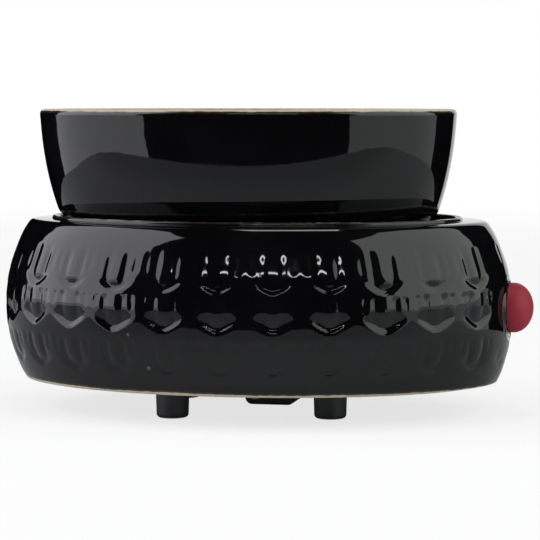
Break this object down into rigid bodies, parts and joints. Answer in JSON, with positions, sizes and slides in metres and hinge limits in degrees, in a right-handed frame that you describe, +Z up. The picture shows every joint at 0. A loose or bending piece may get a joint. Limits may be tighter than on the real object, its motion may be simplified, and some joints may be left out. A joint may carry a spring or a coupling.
{
  "type": "wax melt warmer",
  "caption": "Oval glazed ceramic wax melt warmer with a lift-off melt dish on a heated plate, a push button at one end and small rubber feet.",
  "frame": {"origin": "centre of the whole part's outline, on the surface that it stands on", "axes": "+Z up, +X along the long axis towards the push button, -Y the front"},
  "size_m": [0.1472, 0.1, 0.0826],
  "materials": {
    "black_glaze": "high gloss glaze, bare clay at the foot rim and the lip",
    "plate_aluminium": "turned",
    "silicone": "matte",
    "mica": "satin",
    "resistance_alloy": "satin",
    "zinc_steel": "zinc plated",
    "ceramic_fibre": "matte",
    "white_ceramic": "satin",
    "black_plastic": "moulded",
    "white_plastic": "moulded",
    "black_rubber": "moulded",
    "brass": "machined",
    "red_cap": "soft matte",
    "sleeving": "braided glass sleeving"
  },
  "bodies": {
    "base": {"base_shell": "black_glaze", "warming_plate": "plate_aluminium", "plate_gasket": "silicone", "upper_mica": "mica", "heater_ribbon": "resistance_alloy", "heater_card": "mica", "lower_mica": "mica", "clamp_plate": "zinc_steel", "clamp_nut": "zinc_steel", "tie_rod": "zinc_steel", "shield_nut": "zinc_steel", "thermal_cutoff": "zinc_steel", "cutoff_strap": "zinc_steel", "insulation_pad": "ceramic_fibre", "heat_shield": "zinc_steel", "lead_bushings": "white_ceramic", "heater_tails": "resistance_alloy", "left_post": "zinc_steel", "right_post": "zinc_steel", "bottom_cover": "black_plastic", "cover_screws": "zinc_steel", "front_left_foot": "black_rubber", "front_right_foot": "black_rubber", "back_left_foot": "black_rubber", "back_right_foot": "black_rubber", "foot_screws": "zinc_steel", "cord_gland": "black_plastic", "gland_screw": "brass", "gland_fixings": "zinc_steel", "terminal_block": "white_plastic", "terminal_screws": "brass", "block_fixing": "zinc_steel", "switch_case": "black_plastic", "switch_back": "black_plastic", "switch_tabs": "brass", "switch_nut": "black_plastic", "switch_ring": "black_plastic", "button_spring": "zinc_steel", "live_lead": "sleeving", "switch_lead": "sleeving", "return_lead": "sleeving"},
    "dish": {"melt_dish": "black_glaze"},
    "button": {"button_cap": "red_cap", "button_stem": "white_plastic"}
  },
  "joints": [
    {"name": "dish_lift", "type": "slide", "parent": "base", "child": "dish", "axis": [0, 0, 1], "range_m": [0, 0.04]},
    {"name": "button_press", "type": "slide", "parent": "base", "child": "button", "axis": [-1, 0, 0], "range_m": [0, 0.0016], "stiffness_N_per_m": 1200, "deforming": ["button_spring"]}
  ]
}
